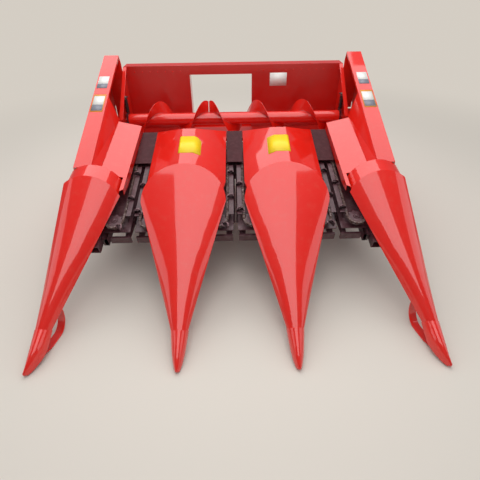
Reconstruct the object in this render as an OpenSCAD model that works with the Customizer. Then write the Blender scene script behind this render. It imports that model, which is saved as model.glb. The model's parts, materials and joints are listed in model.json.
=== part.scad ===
// Three-row corn header: a main frame with a cross auger, three row units with gathering
// chains and stalk rolls, and four pointed dividers. Y runs to the rear, and z = 0 is the ground.

/* [Rows] */
// Distance between the middles of two rows
row_spacing = 650; // [640:5:680]
// Rise of the row units and hoods to the rear, in degrees
row_tilt = 15; // [14.5:0.1:15.5]
// Distance from the snout tips to the front of the row units
row_y = 690; // [680:5:700]
// Height of the deck plates at the front of the row units
row_z = 410; // [405:1:415]
// Half of the gap between two hoods
row_gap = 63; // [62:0.5:66]
// Distance from an outer row to the side plate
row_to_side = 262; // [255:1:270]

/* [Header] */
// Length from the snout tips to the hooks of the feeder collar
header_len = 2240; // [2225:1:2260]
// Thickness of the side plates
side_t = 6; // [4:0.5:8]
// Thickness of hoods, snouts and shields
sheet_t = 4; // [3:0.25:5]
// Distance from the back wall to the ends of the hooks behind it
wall_back = 154; // [150:1:160]
// Thickness of the back wall and trough
wall_t = 5; // [4:0.5:6]
// Height of the frame's top
frame_top = 1110; // [1100:1:1130]
// Height of the frame's underside
frame_low = 440; // [430:1:450]
// Side of the square frame tube
beam = 100; // [90:1:105]
// Height of the upper frame tube
beam_top_h = 70; // [60:1:75]
// Wall of the square frame tube
beam_wall = 6; // [4:0.5:8]

/* [Feed opening] */
// Middle of the feed opening, measured from the header's middle
feed_x = -108; // [-120:1:-90]
// Width of the feed opening
feed_w = 530; // [500:1:550]
// Height of the top of the feed opening
feed_top = 1034; // [1000:1:1040]

/* [Auger] */
// Distance from the auger's axis to the back wall
auger_back = 216; // [212:1:220]
// Height of the auger's axis
auger_z = 728; // [720:1:735]
// Diameter of the auger tube
auger_tube_d = 100; // [90:1:110]
// Diameter over the flights
flight_d = 290; // [270:1:300]
// Distance between two turns of the flight
flight_pitch = 390; // [360:5:420]
// Thickness of the flight
flight_t = 5; // [4:0.5:6]
// Gap between the flights and the trough
trough_gap = 15; // [10:1:20]

/* [Gathering chains] */
// Distance from the row's middle to the chain's inner strand
strand_x = 52; // [51:0.5:53]
// Pitch radius of the chain wheels
wheel_r = 55; // [53:0.5:57]
// Width of the chain strand, seen from above
chain_w = 16; // [14:0.5:17]
// Height of the chain strand
chain_h = 20; // [18:0.5:22]
// Height of the chain above the deck plates
chain_n = 42; // [40:0.5:44]
// Lugs on one chain
lugs = 7; // [6:1:8]

/* [Stalk rolls] */
// Radius over the knives of a stalk roll
roll_r = 40; // [36:0.5:41]
// Distance from the row's middle to a roll's axis
roll_x = 43; // [42.5:0.5:45]
// Depth of the roll axes below the deck plates
roll_n = 62; // [60:0.5:66]

/* [Snouts] */
// Distance from the snout tips to the snout hinges
hinge_y = 930; // [925:1:935]
// Height of the snout hinges
hinge_z = 600; // [595:1:605]
// Radius of the hinge pins
pin_r = 10; // [8:0.5:12]
// Width of the skid under a snout
skid_w = 30; // [26:1:40]
// Thickness of the skid under a snout
skid_t = 6; // [5:0.5:8]

/* [Shields] */
// Width of the top of an end shield
crest_w = 113; // [105:1:120]
// Distance from the side plate to the end shield's inner wall
crest_gap = 9; // [8:0.5:12]

/* [Stands] */
// Side of a stand's tube
stand_w = 50; // [45:1:55]
// Side of a stand's foot
foot_w = 120; // [100:5:140]

/* [Hidden] */
$fn = 48;

paint = "#D8261C";
dark = "#5A3C44";
steel = "#8A8A8C";

run_gap = 0.1;
seat_gap = 0.3;
move_gap = 5;

wall_y = header_len - wall_back;
auger_y = wall_y - auger_back;
lip_y = auger_y - 285;
lip_z = auger_z - 60;
lip_drop = 30;
bar_y0 = lip_y + 15;
bar_y1 = bar_y0 + beam;

inner_half = row_spacing + row_to_side;
side_out = inner_half + side_t;
divider_x = row_spacing / 2;

function slope(y) = (y - row_y) * tan(row_tilt);
function deck_z(y) = row_z + slope(y);

// The sheet's inner line, t inside the outer one, seen along y
function normal(a, b) = let (d = [b[0] - a[0], b[2] - a[2]], n = norm(d)) [d[1] / n, -d[0] / n];
function inset(points, t) = [
    for (i = [0:len(points) - 1])
        let (
            here = points[i],
            n1 = normal(points[max(i - 1, 0)], points[max(i, 1)]),
            n2 = normal(points[min(i, len(points) - 2)], points[min(i + 1, len(points) - 1)]),
            m = (n1 + n2) / (1 + n1 * n2)
        )
        [here[0] + t * m[0], here[1], here[2] + t * m[1]]
];
function reversed(list) = [for (i = [len(list) - 1:-1:0]) list[i]];

// A bent sheet through rows of points, each row running from left to right over the top
module sheet_loft(rows, t = sheet_t) {
    rings = [for (row = rows) concat(row, reversed(inset(row, t)))];
    n = len(rings[0]);
    half = n / 2;
    last = len(rings) - 1;
    polyhedron(
        points = [for (ring = rings) each ring],
        faces = concat(
            // The inner line's faces are split along the same diagonals as the outer line's
            [for (r = [0:last - 1], i = [0:n - 1]) let (j = (i + 1) % n, a = r * n, b = a + n) each i < half
                ? [[b + i, a + j, a + i], [b + i, b + j, a + j]]
                : [[b + j, a + j, a + i], [b + j, a + i, b + i]]
            ],
            [for (i = [0:half - 2]) each [
                [i + 1, n - 1 - i, i],
                [i + 1, n - 2 - i, n - 1 - i]
            ]],
            [for (i = [0:half - 2]) let (o = last * n) each [
                [o + n - 1 - i, o + i + 1, o + i],
                [o + n - 2 - i, o + i + 1, o + n - 1 - i]
            ]]
        ),
        convexity = 6
    );
}

// An upright plate across x from x0 to x1 with its outline in y and z
module side_sheet(x0, x1, outline) {
    translate([x0, 0, 0]) rotate([90, 0, 90]) linear_extrude(x1 - x0) polygon(outline);
}
module side_profile(x0, x1) {
    translate([x0, 0, 0]) rotate([90, 0, 90]) linear_extrude(x1 - x0) children();
}
// An upright plate across y from y0 to y1 with its outline in x and z
module cross_sheet(y0, y1, outline) {
    translate([0, y1, 0]) rotate([90, 0, 0]) linear_extrude(y1 - y0) polygon(outline);
}
module box(x0, x1, y0, y1, z0, z1) {
    translate([x0, y0, z0]) cube([x1 - x0, y1 - y0, z1 - z0]);
}
module x_cylinder(r, x0, x1, y, z) {
    translate([x0, y, z]) rotate([0, 90, 0]) cylinder(r = r, h = x1 - x0);
}
module tube_x(x0, x1, y0, y1, z0, z1, wall) {
    difference() {
        box(x0, x1, y0, y1, z0, z1);
        box(x0 - 1, x1 + 1, y0 + wall, y1 - wall, z0 + wall, z1 - wall);
    }
}
module on_row(x = 0) {
    translate([x, row_y, row_z]) rotate([row_tilt, 0, 0]) children();
}
module sided(side) {
    mirror([side < 0 ? 1 : 0, 0, 0]) children();
}
module placed() {
    translate([0, -header_len / 2, 0]) children();
}

row_x = [-row_spacing, 0, row_spacing];

// Row unit, measured along the deck (s) and square to it (n)
row_len = (lip_y - 16 - row_y) / cos(row_tilt);
deck_t = 8;
deck_s0 = 20;
deck_s1 = row_len - 310;
slot_half = 15;
rail_in = 150;
rail_out = 185;
rail_low = -70;
rail_s0 = -30;
rail_cross = 40;
hanger_t = 12;
bearing_t = 14;
box_s0 = row_len - 288;
box_s1 = row_len - 50;
box_low = -140;
box_top = 20;
wheel_s0 = 66;
wheel_s1 = row_len - 210;
wheel_t = 8;
hub_r = 22;
guide_in = 12;
guide_out = 42;
guide_t = 4;
guide_s0 = 100;
guide_s1 = row_len - 350;
guide_n = chain_n + chain_h - 2;
lug_n = chain_n + chain_h;
lug_h = 18;
cover_half = 58;
cover_n = 84;
cover_t = 3;
cover_s0 = row_len - 345;
cover_s1 = row_len + 15;
post_r = 8;
roll_core = 28;
roll_shaft = 14;
roll_tip = 18;
roll_cone = 110;
roll_in = 30;
roll_s0 = 24;
roll_s1 = row_len - 304;
knives = 6;
knife_t = 8;
knife_root = 6;
knife_back = 4;

// Cross shafts
shaft_r = 20;
shaft_s = row_len - 130;
shaft_n = -98;
shaft_y = row_y + shaft_s * cos(row_tilt) - shaft_n * sin(row_tilt);
shaft_z = row_z + shaft_s * sin(row_tilt) + shaft_n * cos(row_tilt);
input_y = wall_y + wall_t + beam / 2;
input_z = 640;
bearing_w = 24;

// Main frame
beam_y = wall_y + wall_t;
bar_top = frame_low + 110;
post_w = 60;
rib_t = 10;
rib_x = [-inner_half + 30, -divider_x, divider_x, inner_half - 30];

input_end = feed_x + feed_w / 2 + post_w + 70;
input_stub = 110;
bracket_t = 12;

module main_frame() color(paint) {
    tube_x(-inner_half, inner_half, beam_y, beam_y + beam, frame_top - beam_top_h, frame_top, beam_wall);
    tube_x(-inner_half, inner_half, beam_y, beam_y + beam, frame_low, frame_low + beam, beam_wall);
    tube_x(-inner_half, inner_half, bar_y0, bar_y1, frame_low, bar_top, beam_wall);
    difference() {
        for (x = [-inner_half, feed_x - feed_w / 2 - post_w, feed_x + feed_w / 2, inner_half - post_w])
            box(x, x + post_w, beam_y, beam_y + beam, frame_low + beam, frame_top - beam_top_h);
        x_cylinder(shaft_r + move_gap, inner_half - post_w - 1, inner_half + 1, input_y, input_z);
    }
    for (x = rib_x)
        box(x - rib_t / 2, x + rib_t / 2, bar_y1, beam_y, frame_low, frame_low + beam);
    // Bracket that carries the input shaft's free end
    difference() {
        box(input_end + input_stub, input_end + input_stub + bracket_t, beam_y, beam_y + beam,
            frame_low + beam, input_z + beam / 2);
        x_cylinder(shaft_r + run_gap, input_end + input_stub - 1, input_end + input_stub + bracket_t + 1,
            input_y, input_z);
    }
    for (side = [-1, 1]) translate([side * stand_x[1], 0, 0]) stand_ears(stand_y[1], stand_z[1], frame_low);
}

trough_r = flight_d / 2 + trough_gap;

// The trough's line from its front lip under the auger to the back wall
function trough_line(r) = let (
    dy = lip_y - auger_y, dz = lip_z - auger_z, far = norm([dy, dz]),
    a0 = 360 + atan2(dz, dy) + acos(trough_r / far)
) concat(
    [[lip_y, lip_z - (r - trough_r)]],
    [for (i = [0:8]) let (a = a0 + (270 - a0) * i / 8) [auger_y + r * cos(a), auger_z + r * sin(a)]],
    [[wall_y, auger_z - r]]
);
module trough() color(paint) {
    side_sheet(-inner_half, inner_half, concat(trough_line(trough_r), reversed(trough_line(trough_r + wall_t))));
    box(-inner_half, inner_half, lip_y - wall_t, lip_y, lip_z - lip_drop, lip_z);
}

module back_wall() color(paint) difference() {
    box(-inner_half, inner_half, wall_y, wall_y + wall_t, auger_z - trough_r - wall_t, frame_top);
    box(feed_x - feed_w / 2, feed_x + feed_w / 2, wall_y - 1, wall_y + wall_t + 1, auger_z - trough_r, feed_top);
}

side_flange = 24;
side_knee = [lip_y + 110, auger_z + 62];
side_top_y = wall_y - 26;
side_nose = [bar_y0 - 200, frame_low + 30];
side_nose_top = frame_low + 200;
side_back = beam_y + beam;

module side_plate(side) color(paint) sided(side) {
    difference() {
        side_sheet(inner_half, side_out, [
            [side_back, frame_top], [side_top_y, frame_top], side_knee, [lip_y, lip_z],
            [side_nose[0], side_nose_top], side_nose, [bar_y0 - 10, frame_low], [side_back, frame_low]
        ]);
        for (spot = case_spots) x_cylinder(shaft_r + run_gap, inner_half - 1, side_out + 1, spot[0], spot[1]);
    }
    // Flange along the sloping front edge
    side_profile(inner_half - side_flange, inner_half) polygon([
        side_knee, [side_top_y, frame_top], [side_top_y, frame_top - wall_t * 1.5], [side_knee[0] + wall_t, side_knee[1] - 2]
    ]);
}

collar_y0 = beam_y + beam;
collar_w = 40;
hook_w = 50;
hook_h = 70;
bolt_r = 9;
bolt_x = feed_w / 2 + collar_w / 2;

module feeder_collar() color(paint) {
    difference() {
        box(feed_x - feed_w / 2 - collar_w, feed_x + feed_w / 2 + collar_w, collar_y0, collar_y0 + wall_t * 2,
            frame_low + 10, frame_top - 10);
        box(feed_x - feed_w / 2, feed_x + feed_w / 2, collar_y0 - 1, collar_y0 + wall_t * 2 + 1,
            auger_z - trough_r, feed_top);
        for (x = [-bolt_x, bolt_x], z = [frame_low + beam / 2, frame_top - beam_top_h / 2])
            translate([feed_x + x, collar_y0 - 1, z]) rotate([-90, 0, 0]) cylinder(r = bolt_r, h = wall_t * 2 + 2);
    }
    // Two hooks that hang the header on the feeder house
    for (x = [-feed_w / 2 - collar_w / 2 - 40, feed_w / 2 - collar_w / 2 + 30])
        side_sheet(feed_x + x, feed_x + x + hook_w, [
            [collar_y0 + wall_t * 2, frame_top - 110], [header_len, frame_top - 130],
            [header_len, frame_top - 130 + hook_h], [header_len - 14, frame_top - 130 + hook_h],
            [header_len - 14, frame_top - 100], [collar_y0 + wall_t * 2, frame_top - 80]
        ]);
}

case_x0 = side_out + bearing_w;
case_w = 50;
case_r = 62;
case_flat = 60;
case_spots = [[shaft_y, shaft_z], [auger_y, auger_z], [input_y, input_z]];

module chain_case() color(paint) difference() {
    side_profile(case_x0, case_x0 + case_w) {
        for (spot = case_spots) translate(spot) circle(case_r);
        for (i = [0:1]) let (a = case_spots[i], b = case_spots[i + 1], d = b - a)
            translate(a) rotate(atan2(d[1], d[0])) translate([0, -case_flat]) square([norm(d), 2 * case_flat]);
    }
    for (spot = case_spots) x_cylinder(shaft_r + run_gap, case_x0 - 1, case_x0 + case_w + 1, spot[0], spot[1]);
}

// End shields
crest_in = side_out + crest_gap;
crest_out = crest_in + crest_w;
crest_y0 = 993;
crest_y1 = wall_y - 58;
crest_z0 = 729;
crest_z1 = 1206;
crest_foot = inner_half - 30;
crest_lip = 20;
crest_bend_y = bar_y0;
crest_skirt = [400, 520];
end_low = 800;
ledge_in = row_spacing + row_gap;
ledge_y0 = crest_y0 + 1;
ledge_y1 = lip_y - 10;
ledge_rise = 0.235;
ledge_low = [676, 683];
ledge_from = [963, 1158];

function along(y, y0, y1, z0, z1) = z0 + (y - y0) / (y1 - y0) * (z1 - z0);
function crest_z(y) = along(y, crest_y0, crest_y1, crest_z0, crest_z1);
function ledge_out_z(y) = ledge_low[0] + ledge_rise * (y - ledge_from[0]);
function ledge_in_z(y) = ledge_low[1] + ledge_rise * (y - ledge_from[1]);
function skirt_z(y) = along(y, crest_y0, crest_y1, crest_skirt[0], crest_skirt[1]);

module crest(side) color(paint) sided(side) {
    sheet_loft([for (y = [crest_y0, crest_y1])
        [[crest_in, y, crest_z(y) - crest_lip], [crest_in, y, crest_z(y)], [crest_out, y, crest_z(y)],
            [crest_out, y, skirt_z(y)]]]);
    // The inner wall leans out from the ledge to the shield's lip
    sheet_loft([for (y = [crest_y0, crest_bend_y])
        [[crest_foot, y, ledge_out_z(y)], [crest_in - seat_gap, y, crest_z(y) - 2]]]);
    // End plate between the shield and the side plate
    cross_sheet(crest_y1 + seat_gap, crest_y1 + seat_gap + sheet_t, [
        [side_out + seat_gap, end_low], [crest_out, end_low], [crest_out, crest_z1],
        [crest_in, crest_z1], [side_out + seat_gap, crest_z1 - 60]
    ]);
}

module ledge(side) color(paint) sided(side) {
    sheet_loft([
        for (y = [ledge_y0, ledge_y1]) [
            [ledge_in, y, ledge_in_z(y) - 60], [ledge_in, y, ledge_in_z(y)],
            [crest_foot - seat_gap, y, ledge_out_z(y)]
        ]
    ]);
}

// Outer snouts and collars share one arc, given by its low inner end, top and outer end
rim_in = [ledge_in + 12, 599];
rim_out = [crest_out + 20, 688];
rim_y = 840;
rim_lean = 0.22;
rim_drop = 130;
rim_steps = 8;

function arc3(a, b, sag) = let (
    chord = norm(b - a), r = (chord * chord / 4 + sag * sag) / (2 * sag), mid = (a + b) / 2,
    side = [-(b - a)[1], (b - a)[0]] / chord
) [mid + side * (sag - r), r];
function rim_arc(shrink, n) = let (
    arc = arc3(rim_in, rim_out, 87), c = arc[0], r = arc[1],
    a0 = atan2(rim_in[1] - c[1], rim_in[0] - c[0]), a1 = atan2(rim_out[1] - c[1], rim_out[0] - c[0])
) [for (i = [0:n]) let (a = a0 + (a1 - a0) * i / n) c + (r - shrink) * [cos(a), sin(a)]];
function rim_at(z) = rim_y + rim_lean * (z - rim_in[1]);

collar_shrink = 18;
collar_front = 870;
collar_rise = 0.2;

module collar(side) color(paint) sided(side) {
    arc = rim_arc(collar_shrink, rim_steps);
    outer_x = arc[rim_steps][0];
    sheet_loft([
        for (y = [collar_front, crest_y0 - seat_gap]) concat(
            [for (p = arc) [p[0], y, p[1] + collar_rise * (y - rim_y)]],
            [[outer_x, y, 560]]
        )
    ]);
}

// Hoods over the inner dividers, measured along the row unit
hood_half = divider_x - row_gap;
hood_n = 105;
hood_rise = 116;
hood_wall = 24;
ridge_half = 47;
neck_half = 225;
neck_ridge = 36;
hood_s = [[194, 308], [349, 380], [row_len - 11, row_len - 129]];

function hood_row(half, ridge, s) = [
    [-half, s[0], hood_n - hood_wall], [-half, s[0], hood_n], [-ridge, s[1], hood_n + hood_rise],
    [ridge, s[1], hood_n + hood_rise], [half, s[0], hood_n], [half, s[0], hood_n - hood_wall]
];
module hood(side) color(paint) on_row(side * divider_x) sheet_loft([
    hood_row(neck_half, neck_ridge, hood_s[0]),
    hood_row(hood_half, 40, hood_s[1]),
    hood_row(hood_half, ridge_half, hood_s[2])
]);

// Auger
flight_steps = 20;
meet_x = -205;
flight_end = 860;
tube_end = inner_half - 30;
stub_out = case_x0 + case_w + 4;

module auger_tube() color(paint) {
    x_cylinder(auger_tube_d / 2, -tube_end, tube_end, auger_y, auger_z);
    x_cylinder(shaft_r, -(side_out + bearing_w), stub_out, auger_y, auger_z);
}
// One flight from the end of the auger to where both meet; it starts at start degrees
module flight(x0, x1, start) {
    steps = ceil((x1 - x0) / flight_pitch * flight_steps);
    r0 = (auger_tube_d / 2 + seat_gap) / cos(180 / flight_steps);
    r1 = flight_d / 2;
    polyhedron(
        points = [for (i = [0:steps]) let (
            x = x0 + (x1 - x0) * i / steps,
            a = start + 360 * (x - x0) / flight_pitch
        ) each [for (c = [[r0, -1], [r1, -1], [r1, 1], [r0, 1]])
            [x + c[1] * flight_t / 2, auger_y + c[0] * cos(a), auger_z + c[0] * sin(a)]]],
        faces = concat(
            [[3, 2, 1, 0]],
            [for (i = [0:steps - 1], k = [0:3]) let (j = (k + 1) % 4, o = 4 * i) each [
                [o + j, o + 4 + k, o + k], [o + 4 + j, o + 4 + k, o + j]
            ]],
            [[for (k = [0:3]) 4 * steps + k]]
        ),
        convexity = 10
    );
}
// Both flights reach the top where they meet
module auger_flights() color(paint) {
    flight(-flight_end, meet_x - flight_t, 90 - 360 * (meet_x + flight_end) / flight_pitch);
    mirror([1, 0, 0]) flight(-flight_end, -meet_x - flight_t, 90 - 360 * (flight_end - meet_x) / flight_pitch);
}

hanger_x = tube_end + 2;
hanger_w = 14;
rod_r = 8;

hanger_up = 60;
hanger_top = 190;
hanger_shelf = 8;

module auger_hanger(side) color(dark) sided(side) difference() {
    union() {
        box(hanger_x, hanger_x + hanger_w, auger_y - 35, auger_y + 35, auger_z - 35, auger_z + hanger_up);
        translate([hanger_x + hanger_w / 2, auger_y, auger_z + hanger_up])
            cylinder(r = rod_r, h = hanger_top - hanger_up + 6);
        box(hanger_x - 10, inner_half, auger_y - 16, auger_y + 30, auger_z + hanger_top - hanger_shelf,
            auger_z + hanger_top);
    }
    x_cylinder(shaft_r + run_gap, hanger_x - 1, hanger_x + hanger_w + 1, auger_y, auger_z);
}

module input_shaft() color(steel) {
    x_cylinder(shaft_r, input_end, stub_out, input_y, input_z);
}
module drive_shaft() color(steel) {
    x_cylinder(shaft_r, -(side_out + bearing_w), stub_out, shaft_y, shaft_z);
}

// Row units
module row_frame(k) color(dark) {
    on_row(row_x[k]) {
        for (side = [-1, 1]) sided(side) {
            box(rail_in, rail_out, rail_s0, row_len, rail_low, -deck_t);
            difference() {
                box(roll_x - 24, rail_in, 0, bearing_t, rail_low - 20, rail_low + 35);
                translate([roll_x, -1, -roll_n]) rotate([-90, 0, 0])
                    cylinder(r = roll_shaft + run_gap, h = bearing_t + 2);
            }
        }
        box(-rail_in, rail_in, row_len - rail_cross, row_len, rail_low, -deck_t);
    }
    for (side = [-1, 1]) translate([row_x[k], 0, 0]) sided(side)
        side_sheet(rail_in, rail_in + hanger_t, [
            [bar_y0 - 120, deck_z(bar_y0 - 120) + rail_low + 10], [bar_y0 - 10, deck_z(bar_y0 - 10) + rail_low + 10],
            [bar_y0, bar_top + 40], [bar_y0, frame_low], [bar_y0 - 60, frame_low]
        ]);
}

module gearbox(k) color(dark) on_row(row_x[k]) difference() {
    union() {
        box(-rail_in, rail_in, box_s0, box_s1, box_low, box_top);
        for (side = [-1, 1]) translate([side * (strand_x + wheel_r), wheel_s1, box_top])
            cylinder(r = hub_r, h = chain_n - box_top);
    }
    for (side = [-1, 1]) translate([side * roll_x, box_s0 - 1, -roll_n]) rotate([-90, 0, 0])
        cylinder(r = roll_shaft + run_gap, h = 40);
    translate([-rail_in - 1, shaft_s, shaft_n]) rotate([0, 90, 0])
        cylinder(r = shaft_r + run_gap, h = 2 * rail_in + 2);
}

module deck(k) color(dark) on_row(row_x[k]) {
    for (side = [-1, 1]) sided(side) {
        box(slot_half, rail_out, deck_s0, deck_s1, -deck_t, 0);
        box(guide_in, guide_out, guide_s0, guide_s1, guide_n - guide_t, guide_n);
        box(guide_out - guide_t, guide_out, guide_s0, guide_s1, 0, guide_n - guide_t);
        translate([cover_half - post_r, box_s1 - 40, box_top]) cylinder(r = post_r, h = cover_n - box_top);
    }
    box(-cover_half, cover_half, cover_s0, cover_s1, cover_n, cover_n + cover_t);
}

// The chain's path from above: u runs round it, and a lug points away from the loop
chain_span = wheel_s1 - wheel_s0;
chain_len = 2 * chain_span + 2 * PI * wheel_r;

module loop_2d(r) {
    translate([0, wheel_s0]) circle(r);
    translate([0, wheel_s1]) circle(r);
    translate([-r, wheel_s0]) square([2 * r, chain_span]);
}
module lug_at(u) {
    straight = chain_span;
    turn = PI * wheel_r;
    if (u < straight) translate([-wheel_r, wheel_s0 + u]) children();
    else if (u < straight + turn)
        translate([0, wheel_s1]) rotate(-(u - straight) / wheel_r * 180 / PI) translate([-wheel_r, 0]) children();
    else if (u < 2 * straight + turn)
        translate([wheel_r, wheel_s1 - (u - straight - turn)]) rotate(180) children();
    else translate([0, wheel_s0]) rotate(180 - (u - 2 * straight - turn) / wheel_r * 180 / PI)
        translate([-wheel_r, 0]) children();
}
lug_reach = 44;
lug_bow = 22;
lug_t = 6;
module lug_2d() {
    difference() {
        translate([-lug_bow, -lug_bow / 2]) circle(lug_bow, $fn = 24);
        translate([-lug_bow, -lug_bow / 2 - lug_t]) circle(lug_bow - 1, $fn = 24);
        translate([-lug_reach - lug_bow, -2 * lug_bow]) square([2 * lug_reach + lug_bow, 1.3 * lug_bow]);
    }
    translate([-chain_w / 2, -lug_bow]) square([chain_w, lug_bow]);
}

module chain(phase) {
    translate([0, 0, chain_n]) linear_extrude(chain_h) difference() {
        loop_2d(wheel_r + chain_w / 2);
        loop_2d(wheel_r - chain_w / 2);
    }
    translate([0, 0, lug_n]) linear_extrude(lug_h)
        for (i = [0:lugs - 1]) lug_at((i + phase) / lugs * chain_len) lug_2d();
}
module wheel(s, low) {
    translate([0, s, chain_n + (chain_h - wheel_t) / 2]) cylinder(r = wheel_r - chain_w / 2 - seat_gap, h = wheel_t);
    translate([0, s, low]) cylinder(r = hub_r - 2, h = chain_n + chain_h - low);
}
module chains(k) color(dark) on_row(row_x[k])
    for (side = [-1, 1]) sided(side) translate([strand_x + wheel_r, 0, 0]) {
        chain(side > 0 ? 0.3 : 0.8);
        wheel(wheel_s0, 0);
        wheel(wheel_s1, chain_n);
    }

module roll(k, side) color(dark) on_row(row_x[k]) translate([side * roll_x, 0, -roll_n]) rotate([-90, 0, 0]) {
    rotate_extrude() polygon([
        [0, 0], [roll_shaft, 0], [roll_shaft, roll_s0], [roll_tip, roll_s0], [roll_core, roll_s0 + roll_cone],
        [roll_core, roll_s1], [roll_shaft, roll_s1], [roll_shaft, box_s0 + roll_in], [0, box_s0 + roll_in]
    ]);
    translate([0, 0, roll_s0 + roll_cone + knife_back])
        for (i = [0:knives - 1]) rotate((i + (side > 0 ? 0.75 : 0.25)) * 360 / knives)
            translate([roll_core - knife_root, -knife_t / 2, 0])
                cube([roll_r - roll_core + knife_root, knife_t, roll_s1 - roll_s0 - roll_cone - 2 * knife_back]);
}

// Divider arms with the snout's hinge in front and a bridge that carries the hood or ledge
arm_half = 30;
arm_y0 = 600;
arm_wall = 5;
arm_under = 60;
lug_half = 10;
pin_half = 46;
eye_r = 24;
bridge_y = 1370;
bridge_t = 6;
outer_arm_x = inner_half - 44;

module arm_beam() {
    front = (arm_y0 - row_y) / cos(row_tilt);
    back = row_len - 2;
    on_row() difference() {
        box(-arm_half, arm_half, front, back, -60, 0);
        box(-arm_half + arm_wall, arm_half - arm_wall, front - 1, back + 1, -60 + arm_wall, -arm_wall);
    }
    side_sheet(-arm_half, arm_half, [
        [bar_y0 - 110, deck_z(bar_y0 - 110) - arm_under], [bar_y0 - 40, deck_z(bar_y0 - 40) - arm_under],
        [bar_y0, bar_top + 40], [bar_y0, frame_low], [bar_y0 - 50, frame_low]
    ]);
    // Upright with the hinge pin, measured from the snout tips
    side_sheet(-lug_half, lug_half, [
        [hinge_y - 60, deck_z(hinge_y - 60) - 2], [hinge_y + 60, deck_z(hinge_y + 60) - 2],
        [hinge_y + 18, hinge_z + 14], [hinge_y - 18, hinge_z + 14]
    ]);
    x_cylinder(pin_r, -pin_half, pin_half, hinge_y, hinge_z);
}

function hood_under(x, y) = let (
    edge = deck_z(y) + hood_n / cos(row_tilt), top = edge + hood_rise / cos(row_tilt)
) top - max(0, abs(x) - ridge_half) / (hood_half - ridge_half) * (top - edge) - sheet_t * 1.2 - 4 * seat_gap;

module inner_arm(side) color(dark) translate([side * divider_x, 0, 0]) {
    arm_beam();
    stand_ears(stand_y[0], stand_z[0], deck_z(stand_y[0] - stand_w / 2) - 60 / cos(row_tilt) + 1);
    cross_sheet(bridge_y, bridge_y + bridge_t, concat(
        [[-20, deck_z(bridge_y) - 4], [20, deck_z(bridge_y) - 4], [20, hood_under(200, bridge_y)]],
        [for (x = [200, ridge_half, -ridge_half, -200]) [x, hood_under(x, bridge_y)]],
        [[-20, hood_under(200, bridge_y)]]
    ));
}
module outer_arm(side) color(dark) sided(side) translate([outer_arm_x, 0, 0]) {
    arm_beam();
    x0 = ledge_in + 20 - outer_arm_x;
    x1 = crest_foot - 12 - outer_arm_x;
    cross_sheet(bridge_y, bridge_y + bridge_t, [
        [-20, deck_z(bridge_y) - 4], [x1, deck_z(bridge_y) - 4], [x1, ledge_out_z(bridge_y) - 9],
        [x0, ledge_in_z(bridge_y) - 2], [x0, ledge_in_z(bridge_y) - 30], [-20, ledge_in_z(bridge_y) - 30]
    ]);
}

// Snouts. A section has half a width, a low edge (y, z) and a top (y, z)
snout_joint = [48, [180, 122], [200, 168]];
snout_rim = [hood_half + 5, [800, 575], [968, 757]];
nose_tip = [9, [0, skid_t + seat_gap], [4, skid_t + 28]];
snout_steps = 12;
nose_gap = 0.4;

function arch(section) = [for (i = [0:snout_steps]) let (a = 180 - 180 * i / snout_steps)
    [section[0] * cos(a), along(sin(a), 0, 1, section[1][0], section[2][0]),
     along(sin(a), 0, 1, section[1][1], section[2][1])]];
function shifted(row, dx, dy) = [for (p = row) [p[0] + dx, p[1] + dy, p[2]]];

module inner_snout(side) color(paint) translate([side * divider_x, 0, 0]) {
    sheet_loft([arch(snout_joint), arch(snout_rim)]);
    sheet_loft([arch(nose_tip), shifted(arch(snout_joint), 0, -nose_gap)]);
    skid(snout_joint[2], snout_rim[2]);
}

outer_joint = [45, [205, 122], [225, 172]];
outer_joint_x = crest_out + 46;
outer_tip_x = crest_out + 92;

function outer_rim() = let (arc = rim_arc(0, snout_steps - 1))
    concat([for (p = arc) [p[0], rim_at(p[1]), p[1]]], [[rim_out[0], rim_at(rim_out[1]), rim_out[1] - rim_drop]]);

function outer_front() = shifted(arch(outer_joint), outer_joint_x, 0);

module outer_snout(side) color(paint) sided(side) {
    joint = outer_front();
    sheet_loft([joint, outer_rim()]);
    sheet_loft([shifted(arch(nose_tip), outer_tip_x, 0), shifted(joint, 0, -nose_gap)]);
    translate([outer_joint_x - 4, 0, 0]) skid(outer_joint[2], [870, 740]);
}

// Inside of a snout: a bulkhead near its rear rim with the two hinge ears
ear_in = lug_half + move_gap;
ear_t = 8;
bulk_y = 790;
bulk_t = 6;

// The skin's line at one distance y from the tips, between its front and rear rows
function skin_at(front, rear, y) = [
    for (i = [0:len(front) - 1]) let (k = (y - front[i][1]) / (rear[i][1] - front[i][1]))
        front[i] + k * (rear[i] - front[i])
];
// Height under the top of a snout whose ridge runs from a to b
function under(y, a, b) = along(y, a[0], b[0], a[1], b[1]) - sheet_t - seat_gap;

module bulkhead(front, rear) {
    line = inset(skin_at(front, rear, bulk_y), sheet_t + 2 * seat_gap);
    cross_sheet(bulk_y, bulk_y + bulk_t, [for (p = line) [p[0], p[2]]]);
}
module hinge_ears() {
    for (side = [-1, 1]) translate([side * (ear_in + ear_t / 2), 0, 0]) difference() {
        side_profile(-ear_t / 2, ear_t / 2) {
            translate([hinge_y, hinge_z]) circle(eye_r);
            polygon([
                [bulk_y + 1, hinge_z - 22], [hinge_y, hinge_z - eye_r], [hinge_y, hinge_z + eye_r],
                [bulk_y + 1, hinge_z + 8]
            ]);
        }
        x_cylinder(pin_r + run_gap, -ear_t, ear_t, hinge_y, hinge_z);
    }
}
skid_end = 300;
module skid(a, b) {
    top = under(skid_end, a, b);
    side_sheet(-skid_w / 2, skid_w / 2, [
        [0, 0], [190, 0], [234, 16], [262, 46], [skid_end, top - 12], [skid_end + 1, top],
        [skid_end - skid_t, top - 4], [256, 50], [230, 22], [188, skid_t], [0, skid_t]
    ]);
}
module inner_snout_frame(side) color(dark) translate([side * divider_x, 0, 0]) {
    bulkhead(arch(snout_joint), arch(snout_rim));
    hinge_ears();
}
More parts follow.
